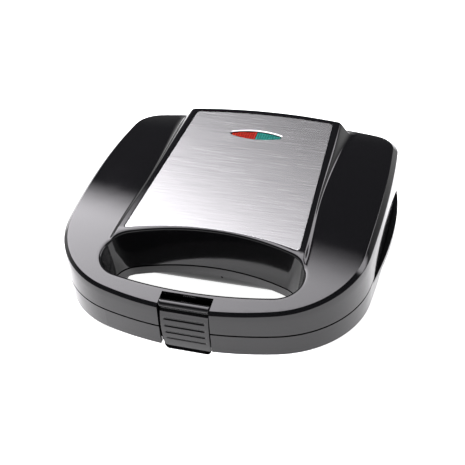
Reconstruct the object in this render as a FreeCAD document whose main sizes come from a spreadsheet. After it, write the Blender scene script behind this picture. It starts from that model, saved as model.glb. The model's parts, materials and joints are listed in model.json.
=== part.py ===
"""Two-slice panini press with a D-shaped body, a loop handle and a front latch, as a parametric assembly.

Row frame: +Z up, the handle at -Y, the hinge at +Y, the origin under the middle of the bounding box.
Lengths are millimetres. Plan depths in the sheet are measured from the front of the seam outline.
"""
import FreeCAD, Part
import math
import os
import Sketcher

V = FreeCAD.Vector
UP = V(0, 0, 1)

DIMS = {
    # where the frame sits
    "front_y": -120.355, "seam_z": 42.0, "seam_gap": 0.8,
    # plan outline of both casings: radius and turn of each arc from the front middle to the rear
    "nose_radius": 233.0, "nose_turn": 15.2, "shoulder_radius": 70.5, "shoulder_turn": 70.8,
    "flank_radius": 840.0, "flank_turn": 8.6, "corner_radius": 26.0, "corner_turn": 72.0,
    "wall": 2.6, "play": 0.3,
    # finger opening of the loop handle
    "loop_front": 16.9, "loop_front_radius": 291.0, "loop_front_turn": 10.6,
    "loop_end_radius": 18.8, "loop_end_turn": 147.0, "loop_lip": 2.2, "loop_inset": 2.1,
    "loop_draft": 8.0, "loop_skin": 3.5,
    # upper casing
    "lid_draft": 1.5, "crown_radius": 760.0, "crown_depth": 160.0, "crown_height": 34.8,
    "lid_edge_radius": 3.6,
    "ridge_front_height": 31.4, "ridge_front_depth": 70.0, "ridge_slope": 4.61,
    "ridge_front_half": 72.0, "ridge_rear_half": 64.5, "ridge_rear_depth": 220.0,
    # decor panel
    "panel_front_half": 64.6, "panel_rear_half": 57.0, "panel_front_corner": 62.0,
    "panel_rear": 211.6, "panel_front_radius": 205.0, "panel_thick": 0.8, "panel_sink": 0.9,
    "lens_depth": 186.5, "lens_front": 181.0, "lens_radius": 57.4, "lens_turn": 19.9, "lens_tip_radius": 2.2,
    "lens_thick": 1.8,
    # lower casing
    "rim_height": 16.0, "tub_half_width": 102.5, "tub_front": 79.9, "tub_rear": 222.0,
    "tub_corner": 24.0, "tub_bottom": 34.0, "tub_draft": 10.0, "tub_edge_radius": 14.0,
    "step_half_width": 67.0, "step_front": 44.0, "step_height": 6.8, "step_corner": 8.0,
    "vent_pitch": 25.5, "vent_height": 20.0, "vent_radius": 0.9,
    "catch_half": 12.0, "catch_front": 4.6, "catch_rear": 7.5, "catch_bottom": -15.0, "catch_top": -12.0,
    "lip_out": 4.0, "lip_top": 2.4, "lip_end": -1.4, "lip_thick": 5.6, "lip_front": 78.0,
    "lip_middle": 122.0, "lip_rear": 194.0,
    # plates and frames
    "frame_drop": 1.4, "frame_thick": 2.4, "plate_half_width": 94.0, "plate_front": 90.0,
    "plate_rear": 213.0, "plate_corner": 18.0, "plate_flange": 5.0, "plate_depth": 7.0,
    "plate_thick": 2.6, "rib_pitch": 12.0, "rib_height": 3.6, "rib_width": 5.0,
    "element_radius": 3.2, "shield_thick": 0.8,
    "plate_boss_x": 80.0, "plate_boss_front": 103.0, "plate_boss_rear": 199.0,
    "post_radius": 3.2, "screw_radius": 1.4, "screw_head_radius": 2.9,
    # hinge
    "hinge_depth": 234.0, "knuckle_radius": 6.0, "pin_radius": 2.0, "pin_play": 0.05,
    "knuckle_from": 50.0, "knuckle_to": 78.0, "lid_knuckle_from": 58.4, "lid_knuckle_to": 69.6,
    # latch
    "latch_half_width": 17.6, "latch_pivot_depth": 9.5, "latch_pivot_height": 14.2,
    "latch_notch_half": 18.2, "latch_notch_depth": 15.3, "latch_groove_pitch": 5.8, "latch_groove_top": 13.0,
    "latch_bottom": -22.6,
    "latch_face_depth": 1.6, "latch_face_lean": 4.0,
    "latch_pin_radius": 1.45,
    # cord inlet
    "inlet_x": -60.0, "inlet_height": -25.2, "inlet_radius": 5.0, "inlet_bore": 3.6,
    "inlet_face": 222.5, "inlet_boss_half": 10.0, "inlet_boss_rise": 8.0,
    # thermostat, thermal fuse, terminal block and lamps
    "control_depth": 150.0, "can_radius": 12.0, "can_thick": 4.0, "cap_radius": 9.0, "cap_thick": 2.6,
    "sleeve_radius": 2.4, "sleeve_half": 17.0, "lead_radius": 0.6, "lead_half": 26.0,
    "terminal_front": 186.0, "terminal_rear": 202.0, "terminal_half": 18.0, "terminal_height": 9.0,
    "holder_height": 22.5, "holder_half": 25.0, "lamp_height": 28.5, "lamp_radius": 2.8, "lamp_length": 14.0,
    # feet
    "foot_radius": 8.0, "foot_stem_radius": 3.0, "foot_x": 76.0, "foot_front": 107.0, "foot_rear": 196.0,
}

doc = FreeCAD.newDocument("panini_press")
sheet = doc.addObject("Spreadsheet::Sheet", "dims")
for row, (alias, value) in enumerate(DIMS.items(), 1):
    sheet.set(f"A{row}", alias)
    sheet.set(f"B{row}", str(value))
    sheet.setAlias(f"B{row}", alias)
doc.recompute()

finished = []

# Heights from the seam and plan depths outside both casings, so that a tool cuts right through.
BELOW, ABOVE = -60.0, 60.0
AHEAD, BEHIND = -20.0, 260.0


def dim(alias):
    """The value of a driving dimension."""
    return float(sheet.get(alias))


def at_depth(depth):
    """Row-frame Y of a plan depth measured from the front of the seam outline."""
    return dim("front_y") + depth


def above_seam(height):
    """Row-frame Z of a height measured from the seam plane."""
    return dim("seam_z") + height


def keep(piece, label):
    """Marks a finished sub-part and gives it the name of its node."""
    piece.Label = label
    finished.append(piece)
    return piece


# ---------------------------------------------------------------- small builders

def box(name, low, high):
    """A Part box between two corners, each corner a tuple in the row frame."""
    piece = doc.addObject("Part::Box", name)
    piece.Length, piece.Width, piece.Height = [b - a for a, b in zip(low, high)]
    piece.Placement.Base = V(*low)
    return piece


def rod(name, start, direction, length, radius):
    """A Part cylinder from a start point along a direction. radius and length may be expressions."""
    piece = doc.addObject("Part::Cylinder", name)
    for key, size in (("Radius", radius), ("Height", length)):
        if isinstance(size, str):
            piece.setExpression(key, size)
        else:
            setattr(piece, key, size)
    piece.Placement = FreeCAD.Placement(V(*start), FreeCAD.Rotation(UP, V(*direction)))
    return piece


def fuse(name, *pieces):
    """One Part union of several objects."""
    piece = doc.addObject("Part::MultiFuse", name)
    piece.Shapes = list(pieces)
    piece.Refine = True
    return piece


def cut(name, base, *tools):
    """base with every tool taken away."""
    piece = doc.addObject("Part::Cut", name)
    piece.Base = base
    piece.Tool = tools[0] if len(tools) == 1 else fuse(name + "_tools", *tools)
    piece.Refine = True
    return piece


def common(name, *pieces):
    """What several objects share."""
    piece = doc.addObject("Part::MultiCommon", name)
    piece.Shapes = list(pieces)
    return piece


def shape_piece(name, shape):
    """A Part feature whose shape is worked out in code."""
    piece = doc.addObject("Part::Feature", name)
    piece.Shape = shape
    return piece


def new_body(name):
    return doc.addObject("PartDesign::Body", name)


def new_sketch(body, name, role="XY_Plane", offset="0"):
    """A sketch on one of the body's own origin planes, moved along its normal by an expression."""
    sketch = body.newObject("Sketcher::SketchObject", name)
    plane = [f for f in body.Origin.OriginFeatures if f.Role == role][0]
    sketch.AttachmentSupport = [(plane, "")]
    sketch.MapMode = "FlatFace"
    sketch.setExpression("AttachmentOffset.Base.z", offset)
    return sketch


def join_ends(sketch, count):
    """Ties each edge of a closed loop to the next where their ends meet."""
    for i in range(count):
        j = (i + 1) % count
        gaps = {(a, b): sketch.getPoint(i, a).distanceToPoint(sketch.getPoint(j, b))
                for a in (2, 1) for b in (1, 2)}
        a, b = min(gaps, key=lambda ends: round(gaps[ends], 4))
        sketch.addConstraint(Sketcher.Constraint("Coincident", i, a, j, b))


def draw_polygon(sketch, points):
    """A closed loop of straight edges."""
    count = len(points)
    for a, b in zip(points, points[1:] + points[:1]):
        sketch.addGeometry(Part.LineSegment(V(*a, 0), V(*b, 0)), False)
    join_ends(sketch, count)


def round_rectangle(low, high, radius):
    """Edges of a rectangle with round corners, counter-clockwise."""
    (x0, y0), (x1, y1) = low, high
    corners = [(x1, y0, -90), (x1, y1, 0), (x0, y1, 90), (x0, y0, 180)]
    edges = []
    for i, (cx, cy, start) in enumerate(corners):
        centre = V(cx + (radius if cx == x0 else -radius), cy + (radius if cy == y0 else -radius), 0)
        a = math.radians(start)
        arc = Part.ArcOfCircle(Part.Circle(centre, UP, radius), a, a + math.pi / 2)
        if edges:
            edges.append(Part.LineSegment(edges[-1].EndPoint, arc.StartPoint))
        edges.append(arc)
    edges.append(Part.LineSegment(edges[-1].EndPoint, edges[0].StartPoint))
    return edges


def arc_ring(front, arcs, offset=0.0):
    """A closed outline, mirror-symmetric in X, of arcs that turn left from its front middle.

    arcs holds a radius and a turn in degrees for each arc up to the last, whose radius closes the outline.
    offset moves the whole outline outwards.
    """
    x, y, heading = 0.0, front, 0.0
    right = []
    for radius, turn in arcs:
        centre = V(x - radius * math.sin(heading), y + radius * math.cos(heading), 0)
        end = heading + math.radians(turn)
        right.append((centre, radius + offset, heading - math.pi / 2, end - math.pi / 2))
        x = centre.x + radius * math.sin(end)
        y = centre.y - radius * math.cos(end)
        heading = end
    closing = x / math.sin(heading)
    rear_centre = V(0, y + closing * math.cos(heading), 0)
    centre, radius, start, end = right[0]
    ring = [(centre, radius, -math.pi - end, end)]
    ring += right[1:]
    ring.append((rear_centre, closing + offset, heading - math.pi / 2, 3 * math.pi / 2 - heading))
    ring += [(V(-c.x, c.y, 0), r, math.pi - b, math.pi - a) for c, r, a, b in reversed(right[1:])]
    return [Part.ArcOfCircle(Part.Circle(c, UP, r), a, b) for c, r, a, b in ring]


def casing_outline(offset=0.0):
    names = ("nose", "shoulder", "flank", "corner")
    arcs = [(dim(n + "_radius"), dim(n + "_turn")) for n in names]
    return arc_ring(dim("front_y"), arcs, offset)


def loop_outline(offset=0.0):
    arcs = [(dim(f"loop_{part}_radius"), dim(f"loop_{part}_turn")) for part in ("front", "end")]
    return arc_ring(at_depth(dim("loop_front")), arcs, offset)


def draw_edges(sketch, edges):
    """Adds a closed loop of ready edges and fixes the radius of each arc."""
    for edge in edges:
        sketch.addGeometry(edge, False)
    join_ends(sketch, len(edges))
    for i, edge in enumerate(edges):
        if hasattr(edge, "Radius"):
            sketch.addConstraint(Sketcher.Constraint("Radius", i, edge.Radius))


def add_pad(body, sketch, name, length, reverse=False, taper="0", both=False):
    pad = body.newObject("PartDesign::Pad", name)
    pad.Profile = sketch
    pad.setExpression("Length", length)
    pad.Reversed = reverse
    pad.Midplane = both
    pad.setExpression("TaperAngle", taper)
    return pad


def add_pocket(body, sketch, name, length, reverse=False, both=False):
    pocket = body.newObject("PartDesign::Pocket", name)
    pocket.Profile = sketch
    pocket.setExpression("Length", length)
    pocket.Reversed = reverse
    pocket.Midplane = both
    return pocket


def prism(name, edges, bottom, length, taper="0"):
    """A body padded upwards from a closed loop of edges at a height given by an expression."""
    body = new_body(name)
    sketch = new_sketch(body, name + "_outline", "XY_Plane", bottom)
    draw_edges(sketch, edges)
    add_pad(body, sketch, name + "_pad", length, taper=taper)
    return body


def prism_down(name, edges, top, length):
    """A body padded downwards from a closed loop of edges, drawn in by the tub's draft."""
    body = new_body(name)
    sketch = new_sketch(body, name + "_outline", "XY_Plane", top)
    draw_edges(sketch, edges)
    add_pad(body, sketch, name + "_pad", length, True, "-dims.tub_draft")
    return body


def side_prism(name, points, half_width):
    """A body padded both ways along X from a polygon of (y, z) points."""
    body = new_body(name)
    sketch = new_sketch(body, name + "_profile", "YZ_Plane")
    draw_polygon(sketch, points)
    add_pad(body, sketch, name + "_pad", f"2 * ({half_width})", both=True)
    return body


def plan_rectangle(half_width, front, rear, radius):
    """A rounded rectangle centred on X between two plan depths."""
    return round_rectangle((-half_width, at_depth(front)), (half_width, at_depth(rear)), radius)


# ---------------------------------------------------------------- heights of the lid

def crown_height(depth):
    """Height of the lid's crowned top above the seam at a plan depth."""
    drop = depth - dim("crown_depth")
    return dim("crown_height") - dim("crown_radius") + math.sqrt(dim("crown_radius") ** 2 - drop ** 2)


def ridge_height(depth):
    """Height of the raised panel ramp above the seam at a plan depth."""
    rise = math.tan(math.radians(dim("ridge_slope"))) * (depth - dim("ridge_front_depth"))
    return dim("ridge_front_height") + rise


def under_crown(name, sink):
    """Everything below the crowned top, lowered by sink, as a slab along X."""
    radius = dim("crown_radius") - sink
    centre = V(at_depth(dim("crown_depth")), above_seam(dim("crown_height") - dim("crown_radius")), 0)
    rear, front, floor = at_depth(BEHIND), at_depth(AHEAD), above_seam(-10)
    angles = [math.acos((y - centre.x) / radius) for y in (rear, front)]
    arc = Part.ArcOfCircle(Part.Circle(centre, UP, radius), *angles)
    corners = [arc.EndPoint, V(front, floor, 0), V(rear, floor, 0), arc.StartPoint]
    body = new_body(name)
    sketch = new_sketch(body, name + "_profile", "YZ_Plane")
    draw_edges(sketch, [arc] + [Part.LineSegment(a, b) for a, b in zip(corners, corners[1:])])
    add_pad(body, sketch, name + "_pad", "400", both=True)
    return body


def ridge_block(name, sink):
    """The panel ramp with sloping flanks and a bowed rear, set in on every side by sink."""
    base, top, flank, rear_lean = 20.0, 46.0, math.tan(math.radians(20)), 0.45
    front, rear, bow = dim("loop_front") + 34, dim("ridge_rear_depth") + 10.5, 4.6
    wires = []
    for level in (base, top):
        pull = (level - base) * flank + sink
        front_half, rear_half = dim("ridge_front_half") - pull, dim("ridge_rear_half") - pull
        back = rear - rear_lean * (level - base) - sink
        a, b = V(-front_half, at_depth(front + sink), 0), V(front_half, at_depth(front + sink), 0)
        c, d = V(rear_half, at_depth(back - bow), 0), V(-rear_half, at_depth(back - bow), 0)
        rear_arc = Part.Arc(c, V(0, at_depth(back), 0), d).toShape()
        wire = Part.Wire([Part.makeLine(a, b), Part.makeLine(b, c), rear_arc, Part.makeLine(d, a)])
        wire.translate(V(0, 0, above_seam(level)))
        wires.append(wire)
    block = shape_piece(name + "_block", Part.makeLoft(wires, True, True))
    ends = [(at_depth(d), above_seam(ridge_height(d) - sink)) for d in (AHEAD, BEHIND)]
    ends += [(at_depth(d), above_seam(0)) for d in (BEHIND, AHEAD)]
    return common(name, block, side_prism(name + "_slab", ends, "200"))


def face_edges(shape, facing, level):
    """Numbers of the edges around the faces that look up (facing 1, above a level) or down (-1, below it)."""
    chosen = set()
    for face in shape.Faces:
        u0, u1, v0, v1 = face.ParameterRange
        normal = face.normalAt((u0 + u1) / 2, (v0 + v1) / 2)
        if normal.z * facing > 0.8 and (face.CenterOfGravity.z - level) * facing > 0:
            for edge in face.Edges:
                chosen.update(i for i, e in enumerate(shape.Edges, 1) if e.isSame(edge))
    return sorted(chosen)


def rounded(name, base, edges, radius):
    """base with a Part fillet on some of its edges."""
    piece = doc.addObject("Part::Fillet", name)
    piece.Base = base
    piece.Edges = [(i, radius, radius) for i in edges]
    return piece


def knuckle_row(name, x_from, x_to, sign):
    """Hinge knuckles at both sides with their arms: sign is +1 on the lid and -1 on the base."""
    pieces = []
    for side in (-1, 1):
        low, high = sorted((side * x_from, side * x_to))
        start = (low, at_depth(dim("hinge_depth")), dim("seam_z"))
        knuckle = rod(f"{name}_{side}", start, (1, 0, 0), high - low, "dims.knuckle_radius")
        bottom, top = sorted((sign * 0.8, sign * 12.0))
        arm = box(f"{name}_arm_{side}", (low, at_depth(222), above_seam(bottom)),
                  (high, at_depth(dim("hinge_depth")), above_seam(top)))
        pieces += [knuckle, arm]
    return pieces


def hinge_bore(name, radius):
    """A bore along the hinge axis through both ends."""
    reach = dim("knuckle_to") + 5
    return rod(name, (-reach, at_depth(dim("hinge_depth")), dim("seam_z")), (1, 0, 0), 2 * reach, radius)


def knuckle_clearance(name, x_from, x_to):
    """Room for the other casing's knuckles."""
    reach = dim("knuckle_radius") + 0.8
    tools = []
    for side in (-1, 1):
        low, high = sorted((side * (x_from - 0.4), side * (x_to + 0.4)))
        start = (low, at_depth(dim("hinge_depth")), dim("seam_z"))
        tools.append(rod(f"{name}_{side}", start, (1, 0, 0), high - low, reach))
    return tools


def lens_outline(offset):
    """A slim oval across the lid: two shallow arcs joined by small ones at its tips."""
    arcs = [(dim("lens_radius"), dim("lens_turn")), (dim("lens_tip_radius"), 180 - 2 * dim("lens_turn"))]
    return arc_ring(at_depth(dim("lens_front")), arcs, offset)


def panel_outline(offset):
    """The decor panel's plan: a concave front edge beside the loop, and straight sides that close in."""
    front, rear = at_depth(dim("panel_front_corner")), at_depth(dim("panel_rear"))
    half_front, half_rear = dim("panel_front_half") + offset, dim("panel_rear_half") + offset
    radius = dim("panel_front_radius")
    rise = radius - math.sqrt(radius ** 2 - dim("panel_front_half") ** 2)
    a, b = V(-half_front, front - offset, 0), V(half_front, front - offset, 0)
    c, d = V(half_rear, rear + offset, 0), V(-half_rear, rear + offset, 0)
    return [Part.Arc(a, V(0, front + rise - offset, 0), b), Part.LineSegment(b, c),
            Part.LineSegment(c, d), Part.LineSegment(d, a)]


def along_ridge(name, edges, above, below):
    """A plan outline cut to a sheet that follows the ramp: from above it to below it."""
    block = prism(name + "_column", edges, "dims.seam_z + 5", "70")
    ends = [(at_depth(d), above_seam(ridge_height(d) + above)) for d in (AHEAD, BEHIND)]
    ends += [(at_depth(d), above_seam(ridge_height(d) - below)) for d in (BEHIND, AHEAD)]
    return common(name, block, side_prism(name + "_band", ends, "200"))


# ---------------------------------------------------------------- fixing points

def frame_posts():
    """Plan points of the screws that hold an inner frame to its casing."""
    spots = [(106.0, 100.0), (106.0, 185.0), (90.0, 54.0)]
    return [(side * x, at_depth(d)) for x, d in spots for side in (-1, 1)]


def plate_back():
    """Distance from the seam to the back of either plate."""
    return dim("frame_drop") + dim("plate_depth") + dim("plate_thick")


def plate_bosses():
    """Plan points of the screws that hold a plate to its heat shield."""
    depths = (dim("plate_boss_front"), dim("plate_boss_rear"))
    return [(side * dim("plate_boss_x"), at_depth(d)) for d in depths for side in (-1, 1)]


def latch_pivot():
    """Y and Z of the latch pin's axis."""
    return at_depth(dim("latch_pivot_depth")), above_seam(dim("latch_pivot_height"))


def foot_spots():
    """Plan points of the four feet, with the name of each."""
    return [(f"{end}_{hand}_foot", side * dim("foot_x"), at_depth(dim("foot_" + end)))
            for end in ("front", "rear") for hand, side in (("left", -1), ("right", 1))]


def upright_rods(name, spots, bottom, length, radius):
    """Vertical rods at several plan points."""
    return [rod(f"{name}_{i}", (x, y, above_seam(bottom)), (0, 0, 1), length, radius)
            for i, (x, y) in enumerate(spots)]


# ---------------------------------------------------------------- casings

def make_upper_casing():
    gap = dim("seam_gap") / 2
    wall = dim("wall")
    blank = prism("lid_blank", casing_outline(), "dims.seam_z + dims.seam_gap / 2", "60", "-dims.lid_draft")
    crowned = common("lid_crowned", blank, under_crown("lid_crown", 0.0))
    doc.recompute()
    soft = rounded("lid_soft", crowned, face_edges(crowned.Shape, 1, above_seam(15)), dim("lid_edge_radius"))
    outside = fuse("lid_outside", soft, ridge_block("lid_ridge", 0.0),
                   *knuckle_row("lid_knuckle", dim("lid_knuckle_from"), dim("lid_knuckle_to"), 1))
    inner = prism("lid_inner", casing_outline(-wall), "dims.seam_z - 5", "60", "-dims.lid_draft")
    under = common("lid_inner_crowned", inner, under_crown("lid_inner_crown", wall))
    ramp = common("lid_inner_ramp", ridge_block("lid_inner_ridge", wall + 1.0),
                  box("lid_ramp_limit", (-80, at_depth(dim("panel_front_corner") - 2), above_seam(15)),
                      (80, at_depth(dim("panel_rear") + 2.4), above_seam(ABOVE))))
    roof = fuse("lid_roof", under, ramp)
    loop_wall = prism("lid_loop_wall", loop_outline(dim("loop_skin") - dim("loop_inset")), "dims.seam_z",
                      "70", "dims.loop_draft")
    half = dim("latch_notch_half") + dim("loop_lip")
    notch_wall = box("lid_notch_wall", (-half, at_depth(AHEAD), above_seam(BELOW)),
                     (half, at_depth(dim("loop_front")), above_seam(ABOVE)))
    top = dim("frame_drop") + dim("frame_thick")
    posts = upright_rods("lid_post", frame_posts(), top, ABOVE, "dims.post_radius")
    hollow = cut("lid_hollow", roof, loop_wall, notch_wall, *posts)
    loop = prism("lid_loop", loop_outline(-dim("loop_inset")), "dims.seam_z", "70", "dims.loop_draft")
    half, deep = dim("latch_notch_half"), at_depth(dim("latch_notch_depth"))
    notch = box("lid_notch", (-half, at_depth(AHEAD), above_seam(BELOW)), (half, deep, above_seam(ABOVE)))
    recess = along_ridge("lid_panel_recess", panel_outline(0.4), 8.0, dim("panel_sink"))
    window = prism("lid_lens_window", lens_outline(-0.6), "dims.seam_z + 20", "40")
    seat = along_ridge("lid_lens_seat", lens_outline(1.2), 8.0, dim("panel_sink") + dim("lens_thick"))
    holes = upright_rods("lid_post_hole", frame_posts(), 0, 11, "dims.screw_radius")
    bore = hinge_bore("lid_bore", "dims.pin_radius + dims.pin_play")
    tools = [hollow, loop, notch, recess, window, seat, bore]
    tools += knuckle_clearance("lid_room_inner", dim("knuckle_from"), dim("lid_knuckle_from") - 0.8)
    tools += knuckle_clearance("lid_room_outer", dim("lid_knuckle_to") + 0.8, dim("knuckle_to"))
    reach = half + 1.8
    pin = rod("lid_latch_bore", (-reach, *latch_pivot()), (1, 0, 0), 2 * reach,
              "dims.latch_pin_radius + dims.pin_play")
    return keep(cut("upper_casing", outside, *tools, pin, *holes), "upper_casing")


def tub(name, half_width, front, rear, corner, top, length, edge_radius):
    """The tapered tub under the rim, with its lower edge rounded."""
    blank = prism_down(name + "_blank", plan_rectangle(half_width, front, rear, corner), top, length)
    doc.recompute()
    return rounded(name, blank, face_edges(blank.Shape, -1, above_seam(-dim("rim_height"))), edge_radius)


def half_width(depth):
    """Half-width of the seam outline at a plan depth."""
    outline = Part.Wire([edge.toShape() for edge in casing_outline()])
    line = Part.makeLine(V(0, at_depth(depth), 0), V(200, at_depth(depth), 0))
    return outline.distToShape(line)[1][0][0].x


def side_lips():
    """The ledges on both flanks: crescents in plan whose tops arch up to just above the seam."""
    depths = [dim("lip_" + n) for n in ("front", "middle", "rear")]
    spots = [V(half_width(d), at_depth(d), 0) for d in depths]
    spots[1].x += dim("lip_out")
    crescents = []
    for side in (-1, 1):
        a, b, c = [V(side * p.x, p.y, 0) for p in spots[::side]]
        edges = [Part.Arc(a, b, c), Part.LineSegment(c, a)]
        crescents.append(prism(f"lip_crescent_{side}", edges, "dims.seam_z + dims.lip_top - dims.lip_thick",
                               "dims.lip_thick + 1"))
    inner = prism("lip_inner", casing_outline(0.5), "dims.seam_z - dims.seam_gap / 2", "20")
    ends = [V(at_depth(dim("lip_" + n)), above_seam(dim("lip_end")), 0) for n in ("rear", "front")]
    crest = V(at_depth(dim("lip_middle")), above_seam(dim("lip_top")), 0)
    arc = Part.Arc(ends[0], crest, ends[1])
    floor = above_seam(-20)
    corners = [ends[1], V(ends[1].x, floor, 0), V(ends[0].x, floor, 0), ends[0]]
    span = new_body("lip_span")
    sketch = new_sketch(span, "lip_span_profile", "YZ_Plane")
    draw_edges(sketch, [arc] + [Part.LineSegment(a, b) for a, b in zip(corners, corners[1:])])
    add_pad(span, sketch, "lip_span_pad", "400", both=True)
    return common("lips", cut("lip_pair", fuse("lip_both", *crescents), inner), span)


def make_lower_casing():
    wall = dim("wall")
    rim = prism("rim_blank", casing_outline(), "dims.seam_z - dims.rim_height",
                "dims.rim_height - dims.seam_gap / 2")
    half, front, rear, corner = [dim("tub_" + n) for n in ("half_width", "front", "rear", "corner")]
    outer_tub = tub("tub_outer", half, front, rear, corner, "dims.seam_z - dims.rim_height + 2",
                    "dims.tub_bottom - dims.rim_height + 2", dim("tub_edge_radius"))
    x, z = dim("inlet_x"), dim("inlet_height")
    half, rise = dim("inlet_boss_half"), dim("inlet_boss_rise")
    inlet_boss = box("inlet_boss", (x - half, at_depth(rear - 8), above_seam(z - rise)),
                     (x + half, at_depth(dim("inlet_face")), above_seam(z + rise)))
    half = dim("tub_half_width")
    outside = fuse("base_outside", rim, outer_tub, side_lips(), inlet_boss,
                   *knuckle_row("base_knuckle_inner", dim("knuckle_from"), dim("lid_knuckle_from") - 0.4, -1),
                   *knuckle_row("base_knuckle_outer", dim("lid_knuckle_to") + 0.4, dim("knuckle_to"), -1))
    inner_rim = prism("rim_inner", casing_outline(-wall), "dims.seam_z - dims.rim_height + dims.wall", "40")
    inset = wall + 0.6
    inner_tub = tub("tub_inner", half - inset, front + inset, rear - inset, corner - wall,
                    "dims.seam_z - dims.rim_height + 5", "dims.tub_bottom - dims.rim_height + 5 - dims.wall",
                    dim("tub_edge_radius") - wall)
    loop_wall = prism("base_loop_wall", loop_outline(dim("loop_lip")), "dims.seam_z - 50", "80")
    half = dim("latch_notch_half") + dim("loop_lip")
    notch_wall = box("base_notch_wall", (-half, at_depth(AHEAD), above_seam(BELOW)),
                     (half, at_depth(dim("loop_front")), above_seam(ABOVE)))
    half, front, corner = dim("step_half_width"), dim("step_front"), dim("step_corner")
    low, rise = "dims.seam_z - dims.rim_height - 4", "dims.rim_height + 4 - dims.step_height"
    step = prism("base_step", plan_rectangle(half, front, dim("tub_front"), corner), low, rise)
    around = plan_rectangle(half + wall, front - wall, dim("tub_front") + wall, corner + wall)
    step_wall = prism("base_step_wall", around, low, rise + " + dims.wall")
    low = dim("frame_drop") + dim("frame_thick")
    posts = upright_rods("base_post", frame_posts(), -low - 20, 20, "dims.post_radius")
    void = fuse("base_void", inner_rim, inner_tub)
    hollow = cut("base_hollow", void, loop_wall, notch_wall, step_wall, *posts)
    loop = prism("base_loop", loop_outline(-dim("loop_inset")), "dims.seam_z - 60", "80")
    half = dim("latch_notch_half")
    notch_room = box("base_notch_room", (-half, at_depth(AHEAD), above_seam(BELOW)),
                     (half, at_depth(dim("catch_rear")), above_seam(ABOVE)))
    catch_half = dim("catch_half")
    catch = box("base_catch", (-catch_half, at_depth(dim("catch_front")), above_seam(dim("catch_bottom"))),
                (catch_half, at_depth(dim("catch_rear") + 1.5), above_seam(dim("catch_top"))))
    notch = cut("base_notch", notch_room, catch)
    bore = hinge_bore("base_bore", "dims.pin_radius")
    inlet = rod("base_inlet", (x, at_depth(200), above_seam(z)), (0, 1, 0), 40, "dims.inlet_radius")
    stems = [rod(f"{n}_hole", (x, y, above_seam(BELOW)), (0, 0, 1), 40, "dims.foot_stem_radius")
             for n, x, y in foot_spots()]
    vents = [rod(f"base_vent_{i}", (i * dim("vent_pitch"), at_depth(dim("tub_front") - 10),
                                    above_seam(-dim("vent_height"))), (0, 1, 0), 20, "dims.vent_radius")
             for i in (-1, 0, 1)]
    holes = upright_rods("base_post_hole", frame_posts(), -12.5, 12.5, "dims.screw_radius")
    tools = [hollow, loop, step, notch, bore, inlet, *stems, *vents, *holes]
    tools += knuckle_clearance("base_room", dim("lid_knuckle_from"), dim("lid_knuckle_to"))
    return keep(cut("lower_casing", outside, *tools), "lower_casing")


# ---------------------------------------------------------------- frames, plates and heating

def make_frame(label, sign):
    """The flat inner cover of one casing, with the loop opening and a window for its plate."""
    face = sign * dim("frame_drop")
    low = min(face, face + sign * dim("frame_thick"))
    name = label + "_part"
    outline = casing_outline(-dim("wall") - dim("play"))
    sheet_body = prism(name, outline, f"dims.seam_z + {low}", "dims.frame_thick")
    around = prism(name + "_loop", loop_outline(dim("loop_lip") + dim("play")), "dims.seam_z - 10", "20")
    half = dim("latch_notch_half") + 2.6
    latch = box(name + "_latch", (-half, at_depth(-10), above_seam(-10)),
                (half, at_depth(dim("loop_front") + 4), above_seam(10)))
    margin = 1.0
    opening = plan_rectangle(dim("plate_half_width") + margin, dim("plate_front") - margin,
                             dim("plate_rear") + margin, dim("plate_corner"))
    window = prism(name + "_window", opening, "dims.seam_z - 10", "20")
    holes = upright_rods(name + "_hole", frame_posts(), -10, 20, "dims.screw_radius + 0.2")
    low = face + sign * 1.05 if sign < 0 else face - 1
    wells = upright_rods(name + "_well", frame_posts(), low, 2.05, "dims.screw_head_radius + 0.2")
    return keep(cut(label, sheet_body, around, latch, window, *holes, *wells), label)


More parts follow.
